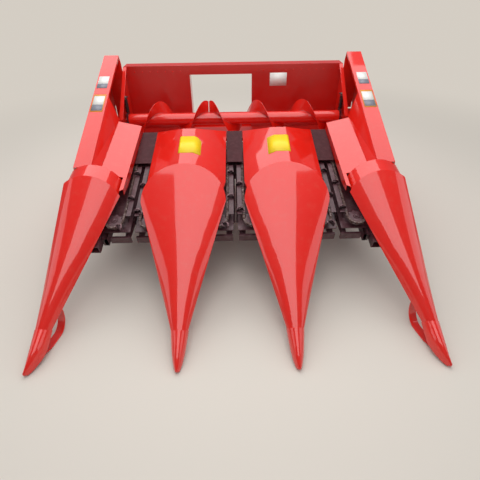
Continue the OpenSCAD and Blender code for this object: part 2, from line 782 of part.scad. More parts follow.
module outer_snout_frame(side) color(dark) sided(side) {
    bulkhead(outer_front(), outer_rim());
    translate([outer_arm_x, 0, 0]) hinge_ears();
}

// Folding stands: each leg hangs on a pin between two ears
stand_x = [divider_x, 560];
stand_y = [760, beam_y + beam / 2];
stand_z = [325, frame_low - 45];
ear_gap = 2;
stand_ear_t = 8;
foot_t = 8;
stand_wall = 5;

module stand_ears(y, z, top) {
    for (side = [-1, 1]) translate([side * (stand_w / 2 + ear_gap + stand_ear_t / 2), 0, 0])
        side_profile(-stand_ear_t / 2, stand_ear_t / 2) {
            translate([y, z]) circle(stand_w / 2);
            translate([y - stand_w / 2, z]) square([stand_w, top - z]);
        }
    x_cylinder(pin_r, -stand_w / 2 - ear_gap - 1, stand_w / 2 + ear_gap + 1, y, z);
}
module stand(x, y, z) color(dark) translate([x, 0, 0]) {
    difference() {
        union() {
            box(-stand_w / 2, stand_w / 2, y - stand_w / 2, y + stand_w / 2, foot_t, z);
            x_cylinder(stand_w / 2, -stand_w / 2, stand_w / 2, y, z);
        }
        x_cylinder(pin_r + run_gap, -stand_w, stand_w, y, z);
        box(-stand_w / 2 + stand_wall, stand_w / 2 - stand_wall, y - stand_w / 2 + stand_wall,
            y + stand_w / 2 - stand_wall, foot_t - 1, z - stand_w / 2);
    }
    box(-foot_w / 2, foot_w / 2, y - foot_w / 2, y + foot_w / 2, 0, foot_t);
}

placed() main_frame();
placed() back_wall();
placed() trough();
placed() side_plate(-1);  // side_plate_left
placed() side_plate(1);  // side_plate_right
placed() feeder_collar();
placed() chain_case();
placed() crest(-1);  // crest_left
placed() crest(1);  // crest_right
placed() ledge(-1);  // ledge_left
placed() ledge(1);  // ledge_right
placed() collar(-1);  // collar_left
placed() collar(1);  // collar_right
placed() hood(-1);  // hood_left
placed() hood(1);  // hood_right
placed() auger_hanger(-1);  // auger_hanger_left
placed() auger_hanger(1);  // auger_hanger_right
placed() row_frame(0);  // row_frame_left
placed() row_frame(1);  // row_frame_middle
placed() row_frame(2);  // row_frame_right
placed() gearbox(0);  // gearbox_left
placed() gearbox(1);  // gearbox_middle
placed() gearbox(2);  // gearbox_right
placed() deck(0);  // deck_left
placed() deck(1);  // deck_middle
placed() deck(2);  // deck_right
placed() chains(0);  // chains_left
placed() chains(1);  // chains_middle
placed() chains(2);  // chains_right
placed() outer_arm(-1);  // arm_outer_left
placed() inner_arm(-1);  // arm_inner_left
placed() inner_arm(1);  // arm_inner_right
placed() outer_arm(1);  // arm_outer_right
placed() auger_tube();
placed() auger_flights();
placed() input_shaft();
placed() drive_shaft();
placed() roll(0, -1);  // roll_left_a
placed() roll(0, 1);  // roll_left_b
placed() roll(1, -1);  // roll_middle_a
placed() roll(1, 1);  // roll_middle_b
placed() roll(2, -1);  // roll_right_a
placed() roll(2, 1);  // roll_right_b
placed() outer_snout(-1);  // snout_outer_left
placed() inner_snout(-1);  // snout_inner_left
placed() inner_snout(1);  // snout_inner_right
placed() outer_snout(1);  // snout_outer_right
placed() outer_snout_frame(-1);  // snout_frame_outer_left
placed() inner_snout_frame(-1);  // snout_frame_inner_left
placed() inner_snout_frame(1);  // snout_frame_inner_right
placed() outer_snout_frame(1);  // snout_frame_outer_right
placed() stand(-stand_x[0], stand_y[0], stand_z[0]);  // stand_front_left
placed() stand(stand_x[0], stand_y[0], stand_z[0]);  // stand_front_right
placed() stand(-stand_x[1], stand_y[1], stand_z[1]);  // stand_rear_left
placed() stand(stand_x[1], stand_y[1], stand_z[1]);  // stand_rear_right
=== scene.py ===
import json
import math

import bmesh
import bpy
from mathutils import Matrix, Vector

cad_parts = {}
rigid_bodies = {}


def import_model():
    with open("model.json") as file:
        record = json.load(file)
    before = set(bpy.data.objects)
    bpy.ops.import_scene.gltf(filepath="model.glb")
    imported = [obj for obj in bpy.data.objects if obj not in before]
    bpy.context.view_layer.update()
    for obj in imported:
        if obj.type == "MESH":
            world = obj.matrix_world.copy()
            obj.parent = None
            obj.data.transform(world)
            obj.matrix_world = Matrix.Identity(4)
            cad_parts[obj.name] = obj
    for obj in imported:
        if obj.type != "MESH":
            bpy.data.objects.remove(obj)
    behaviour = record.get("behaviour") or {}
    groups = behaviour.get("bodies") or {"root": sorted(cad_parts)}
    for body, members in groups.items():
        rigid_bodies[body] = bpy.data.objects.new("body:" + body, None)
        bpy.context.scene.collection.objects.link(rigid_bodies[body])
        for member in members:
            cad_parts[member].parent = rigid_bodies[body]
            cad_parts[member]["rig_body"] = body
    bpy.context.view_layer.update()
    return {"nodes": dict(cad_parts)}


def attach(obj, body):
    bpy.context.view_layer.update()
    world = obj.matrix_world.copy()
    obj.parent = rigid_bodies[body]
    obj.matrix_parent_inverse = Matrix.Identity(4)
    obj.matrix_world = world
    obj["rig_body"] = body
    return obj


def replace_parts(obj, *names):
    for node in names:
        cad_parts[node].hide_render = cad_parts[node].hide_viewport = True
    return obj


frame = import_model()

# Measures are in millimetres, as in the CAD: x across, y behind the snout tips, z above the ground
header = {
    "length": 2240, "rowSpacing": 650, "rowTilt": 15, "rowY": 690, "rowZ": 410, "innerHalf": 912,
    "crestOut": 1040, "ledgeIn": 713, "wallY": 2086, "augerY": 1870, "augerZ": 728,
}
toFrame = Matrix.Scale(0.001, 4) @ Matrix.Translation((0, -header["length"] / 2, 0))
rowPlaces = {"left": -header["rowSpacing"], "middle": 0, "right": header["rowSpacing"]}
ends = {"left": -1, "right": 1}
dividerX = header["rowSpacing"] / 2


def rowFrame(x):  # along a row unit: x from its middle, y along the deck, z square to it
    tilt = Matrix.Rotation(math.radians(header["rowTilt"]), 4, "X")
    return toFrame @ Matrix.Translation((x, header["rowY"], header["rowZ"])) @ tilt


def sideways(side):  # the right-hand side as drawn, the left-hand side as its mirror image
    return Matrix.Scale(side, 4, (1, 0, 0))


# Materials


def linear(hexColour):
    parts = [int(hexColour[i:i + 2], 16) / 255 for i in (1, 3, 5)]
    return (*[c / 12.92 if c <= 0.04045 else ((c + 0.055) / 1.055) ** 2.4 for c in parts], 1)


def addNode(tree, kind, settings=None, links=None):  # a link starts at a socket or at a node's first output
    node = tree.nodes.new(kind)
    for name, value in (settings or {}).items():
        if isinstance(name, int) or name in node.inputs:
            node.inputs[name].default_value = value
        else:
            setattr(node, name, value)
    for name, source in (links or {}).items():
        socket = source.outputs[0] if isinstance(source, bpy.types.Node) else source
        tree.links.new(socket, node.inputs[name])
    return node


def newMaterial(name):
    material = bpy.data.materials.new(name)
    material.use_nodes = True
    tree = material.node_tree
    tree.nodes.clear()
    place = addNode(tree, "ShaderNodeTexCoord").outputs["Object"]
    return material, tree, place


def patchedColour(tree, place, base, layers):
    # Each layer is a colour, the size of its patches in millimetres, their detail and raggedness, the noise
    # values at which it starts and is full, and its share where it is full
    colour = None
    for over, size, detail, ragged, start, full, share in layers:
        noise = addNode(tree, "ShaderNodeTexNoise",
                        {"Scale": 1000 / size, "Detail": detail, "Roughness": ragged}, {"Vector": place})
        mask = addNode(tree, "ShaderNodeMapRange", {"From Min": start, "From Max": full, "To Max": share},
                       {"Value": noise})
        links = {0: mask, 6: colour} if colour else {0: mask}
        colour = addNode(tree, "ShaderNodeMix", {"data_type": "RGBA", 6: linear(base), 7: linear(over)},
                         links).outputs[2]
    return colour


def finishMaterial(tree, place, settings, links, bumps):
    # Each bump is the size of its grain in millimetres, its detail, strength and depth in millimetres
    normal = {}
    for size, detail, strength, depth in bumps:
        height = addNode(tree, "ShaderNodeTexNoise", {"Scale": 1000 / size, "Detail": detail},
                         {"Vector": place})
        bump = addNode(tree, "ShaderNodeBump", {"Strength": strength, "Distance": depth / 1000},
                       {"Height": height, **normal})
        normal = {"Normal": bump}
    shader = addNode(tree, "ShaderNodeBsdfPrincipled", settings, {**links, **normal})
    addNode(tree, "ShaderNodeOutputMaterial", links={"Surface": shader})


def glossEnamel(name, base, shade, dust, dustShare, coatRoughness):
    # Machine enamel sprayed on bent steel sheet: a clear gloss over a saturated colour, with a little dust
    # and a few chips, on a slightly uneven sheet
    material, tree, place = newMaterial(name)
    colour = patchedColour(tree, place, base, ((shade, 260, 2, 0.5, 0, 1, 0.5),
                                               (dust, 45, 7, 0.7, 0.5, 0.75, dustShare),
                                               ("#3A1A16", 16, 3, 0.5, 0.76, 0.79, 0.4)))
    wear = addNode(tree, "ShaderNodeTexNoise", {"Scale": 1000 / 90, "Detail": 4}, {"Vector": place})
    rough = addNode(tree, "ShaderNodeMapRange", {"To Min": 0.34, "To Max": 0.46}, {"Value": wear})
    finishMaterial(tree, place,
                   {"Coat Weight": 1.0, "Coat Roughness": coatRoughness, "Coat IOR": 1.6, "IOR": 1.3},
                   {"Base Color": colour, "Roughness": rough}, ((300, 1, 0.07, 8), (5, 2, 0.05, 0.3)))
    return material


def dullPaint(name, base, shade, dust, coat=0.25, index=1.5):
    # Thin dark paint on rolled steel, dusty on top and rubbed by stalks
    material, tree, place = newMaterial(name)
    colour = patchedColour(tree, place, base, ((shade, 60, 4, 0.5, 0, 1, 1),
                                               (dust, 25, 6, 0.7, 0.45, 0.7, 0.45)))
    wear = addNode(tree, "ShaderNodeTexNoise", {"Scale": 1000 / 30, "Detail": 4}, {"Vector": place})
    rough = addNode(tree, "ShaderNodeMapRange", {"To Min": 0.34, "To Max": 0.6}, {"Value": wear})
    finishMaterial(tree, place, {"IOR": index, "Coat Weight": coat, "Coat Roughness": 0.25},
                   {"Base Color": colour, "Roughness": rough}, ((12, 4, 0.25, 0.5),))
    return material


def rustySteel(name, steel, rust, share, fade=0.08):
    # Bare hardened steel that has begun to rust: metal where it rubs, brown and rough elsewhere
    material, tree, place = newMaterial(name)
    noise = addNode(tree, "ShaderNodeTexNoise", {"Scale": 1000 / 14, "Detail": 6, "Roughness": 0.7},
                    {"Vector": place})
    bare = addNode(tree, "ShaderNodeMapRange", {"From Min": share - fade, "From Max": share + fade},
                   {"Value": noise})
    colour = addNode(tree, "ShaderNodeMix", {"data_type": "RGBA", 6: linear(rust), 7: linear(steel)},
                     {0: bare}).outputs[2]
    rough = addNode(tree, "ShaderNodeMapRange", {"To Min": 0.75, "To Max": 0.34}, {"Value": bare})
    finishMaterial(tree, place, {}, {"Base Color": colour, "Roughness": rough, "Metallic": bare},
                   ((5, 4, 0.3, 0.3),))
    return material


def plainMetal(name, base, shade, roughness, grain):
    # Turned, drawn or zinc-plated steel: its fine grain is drawn 3 mm wide, which is coarser than the real
    # one, so that it shows
    material, tree, place = newMaterial(name)
    streaked = addNode(tree, "ShaderNodeMapping", {"Scale": grain}, {"Vector": place})
    colour = patchedColour(tree, streaked, base, ((shade, 3, 3, 0.5, 0, 1, 1),))
    finishMaterial(tree, streaked, {"Metallic": 1.0, "Roughness": roughness}, {"Base Color": colour},
                   ((3, 3, 0.12, 0.1),))
    return material


def labelFilm(name, base, shade):
    # Printed vinyl film: satin, a little faded and dusty
    material, tree, place = newMaterial(name)
    colour = patchedColour(tree, place, base, ((shade, 18, 4, 0.5, 0, 1, 0.6),))
    finishMaterial(tree, place, {"Roughness": 0.38, "IOR": 1.46}, {"Base Color": colour},
                   ((8, 2, 0.08, 0.2),))
    return material


redEnamel = glossEnamel("redMachineEnamel", "#E61C0C", "#D4160C", "#B08A74", 0.07, 0.06)
# A darker copy of the red enamel with a rougher coat: painted shade for the back wall, the trough and the
# auger's weld beads, which lie in shade
redEnamelShadedCopy = glossEnamel("redEnamelInShade", "#C81208", "#A40E06", "#8A6A5C", 0.12, 0.3)
darkPaint = dullPaint("darkMaroonPaint", "#542A32", "#3C1C22", "#7C5A60")
# A darker copy of the dark paint without coat and with a lower index: painted shade on the covers over the
# rows' rear ends, under the hoods
coverPaintedShade = dullPaint("shadedMaroonPaint", "#4A1A20", "#361217", "#5E3236", 0, 1.25)
chainSteel = rustySteel("rustedChainSteel", "#7C6E6C", "#4E342E", 0.56)
lugSteel = rustySteel("paintedLugSteel", "#8A6E72", "#54343A", 0.5)
shaftSteel = plainMetal("turnedShaftSteel", "#9A9896", "#7C7A78", 0.34, (1, 12, 12))
zincSteel = plainMetal("zincPlatedSteel", "#B4AFA6", "#8E8880", 0.42, (4, 4, 4))
springSteel = plainMetal("blackSpringSteel", "#4A4644", "#33302E", 0.45, (3, 3, 3))
yellowFilm = labelFilm("yellowVinylFilm", "#FADA1E", "#EAC416")
whiteFilm = labelFilm("whiteVinylFilm", "#F4F2EE", "#E2DED6")
greyFilm = labelFilm("greyVinylFilm", "#8A8A94", "#787882")
orangeFilm = labelFilm("orangeVinylFilm", "#E89A34", "#D68A2A")
print("materials made")


# Making pieces


def addObject(name, data):
    item = bpy.data.objects.new(name, data)
    bpy.context.scene.collection.objects.link(item)
    return item


def addPiece(name, bm, body, material, place=toFrame, smooth=35, flats=False):
    # Faces are smooth up to an angle in degrees, and with flats a face that is set flat stays so
    bmesh.ops.transform(bm, matrix=place, verts=bm.verts)
    if place.determinant() < 0:
        bmesh.ops.reverse_faces(bm, faces=bm.faces)
    for face in bm.faces:
        face.smooth = face.smooth or not flats
    mesh = bpy.data.meshes.new(name)
    bm.to_mesh(mesh)
    bm.free()
    mesh.set_sharp_from_angle(angle=math.radians(smooth))
    piece = addObject(name, mesh)
    mesh.materials.append(material)
    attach(piece, body)
    return piece


def around(count):  # angles evenly round a circle
    return [2 * math.pi * k / count for k in range(count)]


def ringOf(bm, points):  # a closed loop of edges through the points
    verts = [bm.verts.new(p) for p in points]
    return [bm.edges.new((a, b)) for a, b in zip(verts, verts[1:] + verts[:1])]


def lineOf(bm, points):
    verts = [bm.verts.new(p) for p in points]
    return [bm.edges.new((a, b)) for a, b in zip(verts, verts[1:])]


def loft(bm, rings):  # a closed solid through rings of points
    loops = [ringOf(bm, ring) for ring in rings]
    for a, b in zip(loops, loops[1:]):
        bmesh.ops.bridge_loops(bm, edges=a + b)
    for loop in (loops[0], loops[-1]):
        bmesh.ops.contextual_create(bm, geom=loop)
    faces = list({f for loop in loops for e in loop for f in e.link_faces})
    bmesh.ops.recalc_face_normals(bm, faces=faces)


def sheet(bm, rows):  # an open skin through rows of points
    loops = [lineOf(bm, row) for row in rows]
    for a, b in zip(loops, loops[1:]):
        bmesh.ops.bridge_loops(bm, edges=a + b)


def tube(bm, path, radius, sides=8):  # a round bar along a path
    points = [Vector(p) for p in path]
    rings = []
    for before, point, after in zip(points[:1] + points, points, points[1:] + points[-1:]):
        turn = (after - before).normalized().to_track_quat("Z", "Y").to_matrix()
        rings.append([point + turn @ Vector((radius * math.cos(a), radius * math.sin(a), 0))
                      for a in around(sides)])
    loft(bm, rings)


def lathe(bm, profile, place, steps=24):  # profile is (radius, height) pairs that start and end on the axis
    edges = lineOf(bm, [(r, 0, z) for r, z in profile])
    verts = {v for e in edges for v in e.verts}
    bmesh.ops.spin(bm, geom=list(verts) + edges, cent=(0, 0, 0), axis=(0, 0, 1), angle=2 * math.pi,
                   steps=steps, use_merge=True, use_duplicate=False)
    faces = list({f for v in verts for f in v.link_faces})
    grown = set(faces)
    while faces:  # all the faces of this turned shape
        faces = list({g for f in faces for e in f.edges for g in e.link_faces} - grown)
        grown.update(faces)
    verts = list({v for f in grown for v in f.verts})
    bmesh.ops.remove_doubles(bm, verts=verts, dist=0.001)
    grown = list({f for v in verts if v.is_valid for f in v.link_faces})
    bmesh.ops.recalc_face_normals(bm, faces=grown)
    bmesh.ops.transform(bm, matrix=place, verts=list({v for f in grown for v in f.verts}))


def plate(bm, outline, thickness, place, edge, sharp=0.6):
    # A flat plate, outline in x and y, rising along z, with edges rounded that bend more than sharp radians
    verts = [bm.verts.new((x, y, 0)) for x, y in outline]
    face = bm.faces.new(verts)
    grown = bmesh.ops.extrude_face_region(bm, geom=[face])["geom"]
    top = [v for v in grown if isinstance(v, bmesh.types.BMVert)]
    bmesh.ops.translate(bm, verts=top, vec=(0, 0, thickness))
    faces = list({f for v in verts + top for f in v.link_faces})
    bmesh.ops.recalc_face_normals(bm, faces=faces)
    if edge:
        edges = [e for e in {e for f in faces for e in f.edges} if e.calc_face_angle(0) > sharp]
        cut = bmesh.ops.bevel(bm, geom=edges, offset=edge, offset_type="OFFSET", affect="EDGES", segments=2,
                              profile=0.5, material=-1)
        verts = [v for v in verts + top if v.is_valid] + cut["verts"]
        top = []
    bmesh.ops.transform(bm, matrix=place, verts=list(set(verts + top)))


boltParts = {  # sides, then as shares of the size the lower and upper radius, the bottom and the top
    "washer": (20, 1.05, 1.0, 0, 0.18),
    "head": (6, 0.9, 0.9, 0, 0.65),
    "crown": (16, 0.78, 0.62, 0.63, 0.75),
}


def bolt(bm, place, size, parts=("washer", "head", "crown")):  # a hexagon head that stands along z
    for sides, lowRadius, highRadius, bottom, top in [boltParts[part] for part in parts]:
        bmesh.ops.create_cone(bm, cap_ends=True, segments=sides, radius1=size * lowRadius,
                              radius2=size * highRadius, depth=size * (top - bottom),
                              matrix=place @ Matrix.Translation((0, 0, size * (bottom + top) / 2)))


def facing(point, direction):  # a matrix at a point whose z axis looks along the direction
    return Matrix.Translation(point) @ Vector(direction).to_track_quat("Z", "Y").to_matrix().to_4x4()


# Corners sharper than the angle are rounded, and faces that bend less than the merge angle become one
rounding = {"edge": 1.2, "angle": 20, "segments": 2, "merge": 0.6}


def dressed(node, material):
    # The CAD solid with its edges rounded, as bent and cut sheet has
    source = frame["nodes"][node]
    bm = bmesh.new()
    bm.from_mesh(source.data)
    bmesh.ops.remove_doubles(bm, verts=bm.verts, dist=1e-6)
    bmesh.ops.dissolve_limit(bm, angle_limit=math.radians(rounding["merge"]), verts=bm.verts, edges=bm.edges)
    sharp, width = math.radians(rounding["angle"]), rounding["edge"] / 1000
    corners = {e for e in bm.edges if len(e.link_faces) == 2 and e.calc_face_angle(0) > sharp}
    for face in bm.faces:  # a face that bends into none of its neighbours stays flat
        face.smooth = not corners.issuperset(face.edges)
    cut = bmesh.ops.bevel(bm, geom=[e for e in corners if e.calc_length() > 2 * width], offset=width,
                          offset_type="OFFSET", affect="EDGES", segments=rounding["segments"], profile=0.5,
                          material=-1, clamp_overlap=True)
    for face in cut["faces"]:
        face.smooth = True
    piece = addPiece(node + "Dressed", bm, source["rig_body"], material, Matrix(), rounding["angle"],
                     True)
    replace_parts(piece, node)


def paintNode(node, material):
    source = frame["nodes"][node]
    source.data.materials.clear()
    source.data.materials.append(material)


# Camera, floor and light

camera = {
    "eye": (0.0138, -2.1806, 1.758), "pitch": 34.55, "yaw": 0.45, "roll": -0.88, "focal": 352.5,
    "axisY": 213.5, "picture": 480, "sensor": 36, "reach": 200,
}


def makeCamera():  # eye in metres, angles in degrees, focal length and axis in pixels of the picture
    lens = bpy.data.cameras.new("photoCamera")
    lens.sensor_width = camera["sensor"]
    lens.lens = camera["focal"] / camera["picture"] * lens.sensor_width
    lens.shift_y = (camera["axisY"] - camera["picture"] / 2) / camera["picture"]
    lens.clip_end = camera["reach"]
    viewer = addObject("photoCamera", lens)
    viewer.matrix_world = (Matrix.Translation(camera["eye"])
                           @ Matrix.Rotation(math.radians(-camera["yaw"]), 4, "Z")
                           @ Matrix.Rotation(math.radians(90 - camera["pitch"]), 4, "X")
                           @ Matrix.Rotation(math.radians(camera["roll"]), 4, "Z"))
    bpy.context.scene.camera = viewer


studio = {
    "floor": "#D9D2C8", "floorHalf": 60, "floorDrop": 0.0005, "floorGlow": 0.95, "near": 1.7, "far": 5.5,
    "background": "#E6E4E0", "world": "#E8ECF2", "worldStrength": 0.2,
    "boxes": (  # name, place, width and depth, radiance, turn in degrees
        ("skyBox", (-0.7, 1.95, 4.2), (5.4, 5.9), 2.1, (0, 0, 0)),
        ("skyEdge", (2.45, 0.6, 4.2), (0.9, 3.2), 2.1, (0, 0, 0)),
        ("frontBox", (0, -2.05, 3.3), (2.6, 2.77), 2.1, (40.6, 0, 0)),
        ("leftBox", (-5.0, -1.5, 2.2), (3.0, 2.4), 1.2, (0, -68, 0)),
        ("rightBox", (5.0, -1.5, 2.2), (3.4, 3.4), 1.2, (0, 68, 0))),
}


def makeFloor():  # matt near the header, so that it holds the shadow, and glowing further out
    bm = bmesh.new()
    bmesh.ops.create_grid(bm, x_segments=1, y_segments=1, size=studio["floorHalf"])
    mesh = bpy.data.meshes.new("studioFloor")
    bm.to_mesh(mesh)
    bm.free()
    floor = addObject("studioFloor", mesh)
    floor.location.z = -studio["floorDrop"]
    material, tree, place = newMaterial("paleStudioFloor")
    distance = addNode(tree, "ShaderNodeVectorMath", {"operation": "LENGTH"}, {0: place}).outputs["Value"]
    share = addNode(tree, "ShaderNodeMapRange", {"From Min": studio["near"], "From Max": studio["far"],
                                                 "interpolation_type": "SMOOTHSTEP"}, {"Value": distance})
    matt = addNode(tree, "ShaderNodeBsdfDiffuse", {"Color": linear(studio["floor"])})
    glow = addNode(tree, "ShaderNodeEmission",
                   {"Color": linear(studio["floor"]), "Strength": studio["floorGlow"]})
    mixed = addNode(tree, "ShaderNodeMixShader", links={0: share, 1: matt, 2: glow})
    addNode(tree, "ShaderNodeOutputMaterial", links={"Surface": mixed})
    mesh.materials.append(material)


def makeWorld():
    world = bpy.data.worlds.new("paleStudio")
    bpy.context.scene.world = world
    world.use_nodes = True
    tree = world.node_tree
    tree.nodes.clear()
    seen = addNode(tree, "ShaderNodeLightPath").outputs["Is Camera Ray"]
    light = addNode(tree, "ShaderNodeBackground",
                    {"Color": linear(studio["world"]), "Strength": studio["worldStrength"]})
    pale = addNode(tree, "ShaderNodeBackground", {"Color": linear(studio["background"]), "Strength": 1.0})
    mixed = addNode(tree, "ShaderNodeMixShader", links={0: seen, 1: light, 2: pale})
    addNode(tree, "ShaderNodeOutputWorld", links={"Surface": mixed})


def makeLamps():
    for name, spot, size, radiance, turn in studio["boxes"]:
        lamp = bpy.data.lights.new(name, "AREA")
        lamp.shape = "RECTANGLE"
        lamp.size, lamp.size_y = size
        lamp.energy = radiance * math.pi * size[0] * size[1]
        box = addObject(name, lamp)
        box.location = spot
        box.rotation_euler = [math.radians(a) for a in turn]


makeCamera()
makeFloor()
makeWorld()
makeLamps()
bpy.context.scene.view_settings.view_transform = "Standard"
print("camera, floor and lamps made")


# Sheet metal and frame from the CAD, with rounded edges

sheetPieces = {
    redEnamel: ("main_frame", "side_plate_left", "side_plate_right", "feeder_collar", "chain_case",
                "crest_left", "crest_right", "ledge_left", "ledge_right", "hood_left", "hood_right"),
    # the back wall and the trough get the darker copy of the red enamel: painted shade
    redEnamelShadedCopy: ("back_wall", "trough"),
    darkPaint: ("row_frame_left", "row_frame_middle", "row_frame_right", "gearbox_left", "gearbox_middle",
                "gearbox_right", "deck_left", "deck_middle", "deck_right", "arm_outer_left", "arm_inner_left",
                "arm_inner_right", "arm_outer_right", "snout_frame_outer_left", "snout_frame_inner_left",
                "snout_frame_inner_right", "snout_frame_outer_right", "stand_front_left", "stand_front_right",
                "stand_rear_left", "stand_rear_right"),
}
deckCover = {"above": 83}  # over the row's deck line, where only the cover of its rear end reaches


def shadeCover(name, x):  # the cover over a row's rear end, which lies in shade under the hoods, is darker than the guides under it: a darker copy of the dark paint without coat, painted shade
    row = rowFrame(x).inverted()
    deck = bpy.data.objects[f"deck_{name}Dressed"].data
    deck.materials.append(coverPaintedShade)
    for face in deck.polygons:
        face.material_index = int((row @ face.center).z > deckCover["above"])


for material, names in sheetPieces.items():
    for name in names:
        dressed(name, material)
paintNode("auger_tube", redEnamel)
for name in ("input_shaft", "drive_shaft"):
    paintNode(name, shaftSteel)
for name, x in rowPlaces.items():
    shadeCover(name, x)
    for roll in "ab":
        paintNode(f"roll_{name}_{roll}", darkPaint)
for end in ends:
    paintNode(f"auger_hanger_{end}", darkPaint)
print("sheet metal made")


# Snouts and collars

snout = {
    "steps": 24, "sheet": 4, "press": 0.4, "edge": 0.9, "smooth": 50, "rings": (0, 0.25, 0.5, 0.75, 1),
    # A section is its half width, then y and z of its lower edges and of its ridge
    "joint": {"inner": (48, (200, 97), (165, 141)), "outer": (43, (224, 97), (190, 141))},
    "jointX": {"inner": dividerX, "outer": header["crestOut"] + 53},
    "innerRim": (267, (800, 575), (968, 757)),
    # The outer snout's rear edge is an arc between two points in x and z, with a straight drop outside
    "rimIn": (header["ledgeIn"] + 12, 599), "rimOut": (header["crestOut"] + 20, 688), "rimRise": 87,
    "rimDrop": 130, "rimY": 840, "rimLean": 0.22,
}


def spline(points, each):  # a smooth line through points of any number of values
    out = []
    for i in range(len(points) - 1):
        four = [points[min(max(i + k, 0), len(points) - 1)] for k in (-1, 0, 1, 2)]
        for t in [k / each for k in range(each)]:
            out.append([0.5 * (2 * b + (c - a) * t + (2 * a - 5 * b + 4 * c - d) * t * t
                               + (3 * b - a - 3 * c + d) * t ** 3) for a, b, c, d in zip(*four)])
    return out + [list(points[-1])]


def arch(section, x, press=0):  # every second bend stands out a little, as a press leaves it
    half, low, top = section
    points = []
    for i in range(snout["steps"] + 1):
        a = math.pi - math.pi * i / snout["steps"]
        rise = math.sin(a)
        out = press if i % 2 else 0
        points.append(Vector((x + (half + out) * math.cos(a), low[0] + (top[0] - low[0]) * rise,
                              low[1] + (top[1] + out - low[1]) * rise)))
    return points


def rimArc(shrink, count):  # the arc over an outer snout's rear edge, in x and z
    a, b = Vector(snout["rimIn"]), Vector(snout["rimOut"])
    chord, rise = (b - a).length, snout["rimRise"]
    radius = (chord * chord / 4 + rise * rise) / (2 * rise)
    middle = (a + b) / 2 + Vector((-(b - a).y, (b - a).x)) / chord * (rise - radius)
    start, end = [math.atan2((p - middle).y, (p - middle).x) for p in (a, b)]
    turns = [start + (end - start) * i / count for i in range(count + 1)]
    return [middle + (radius - shrink) * Vector((math.cos(t), math.sin(t))) for t in turns]


def outerRim():
    arc = rimArc(0, snout["steps"] - 2)
    points = [Vector((x, snout["rimY"] + snout["rimLean"] * (z - arc[0].y), z)) for x, z in arc]
    return points + [points[-1] - Vector((0, 0, snout["rimDrop"] * share)) for share in (0.5, 1)]


def roundEdges(piece, width, harden, angle=50):
    bevel = piece.modifiers.new("edge", "BEVEL")
    bevel.width = width / 1000
    bevel.segments = 2
    bevel.angle_limit = math.radians(angle)
    bevel.harden_normals = harden


def addSkin(name, bm, body, place):  # the sheet's wall goes inwards from its outer skin
    piece = addPiece(name, bm, body, redEnamel, place, snout["smooth"])
    wall = piece.modifiers.new("wall", "SOLIDIFY")
    wall.thickness = snout["sheet"] / 1000
    wall.offset = -1
    wall.use_even_offset = True
    roundEdges(piece, snout["edge"], True)
    return piece


def makeSkin(name, kind, place):
    joint = arch(snout["joint"][kind], snout["jointX"][kind], snout["press"])
    rim = arch(snout["innerRim"], dividerX, snout["press"]) if kind == "inner" else outerRim()
    bm = bmesh.new()
    sheet(bm, [[a.lerp(b, share) for a, b in zip(joint, rim)] for share in snout["rings"]])
    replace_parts(addSkin("snoutSkin_" + name, bm, "snout_" + name, place), "snout_" + name)


nose = {  # a section is x from the snout's line, half width, y and z of its lower edges and of its ridge
    "each": 5,
    "inner": ((0, 11, 6, 8, 4, 34), (0, 21, 30, 12, 26, 54), (0, 36, 90, 38, 78, 92),
              (0, 52, 204, 94, 169, 147)),
    "outer": ((87, 11, 6, 8, 4, 34), (72, 23, 42, 14, 36, 66), (56, 42, 120, 40, 104, 112),
              (54, 46.4, 228, 94, 194, 147)),
    "line": {"inner": dividerX, "outer": header["crestOut"]},
}
noseTip = {
    "front": 0.2, "length": 9, "fit": 0.97, "neck": 0.97, "sides": 16, "turns": (8, 25, 45, 65, 90, 120),
}


def makeNose(name, kind, place):  # a sleeve over the skin's front end, with a round cast tip
    sections = [(nose["line"][kind] + s[0], *s[1:]) for s in nose[kind]]
    bm = bmesh.new()
    sheet(bm, [arch((half, (lowY, lowZ), (topY, topZ)), x)
               for x, half, lowY, lowZ, topY, topZ in spline(sections, nose["each"])])
    addSkin("snoutNose_" + name, bm, "snout_" + name, place)
    x, half, lowY, lowZ, topY, topZ = sections[0]
    middle, tall = (lowZ + topZ) / 2, (topZ - lowZ) / 2
    rings = []
    for turn in noseTip["turns"]:  # from the tip back into the sleeve
        share = noseTip["fit"] * (math.sin(math.radians(turn)) if turn <= 90 else noseTip["neck"])
        y = noseTip["front"] + noseTip["length"] * (1 - math.cos(math.radians(turn)))
        rings.append([(x + half * share * math.cos(a), y, middle + tall * share * math.sin(a))
                      for a in around(noseTip["sides"])])
    bm = bmesh.new()
    loft(bm, rings)
    addPiece("snoutTip_" + name, bm, "snout_" + name, redEnamel, place, snout["smooth"])


skid = {
    "width": 48, "thick": 6, "ground": 268, "front": 88, "rear": 340, "edge": 1.5, "each": 4, "smooth": 40,
    "path": ((100, 36), (120, 22), (147, 12), (192, 0), (268, 0), (304, 18), (331, 52), (344, 95),
             (347, 147)),
    # x, turn outwards in degrees, height of the front end and of the rear end
    "inner": (dividerX, 0, 80, 268), "outer": (header["crestOut"] + 22, 12, 66, 250),
}


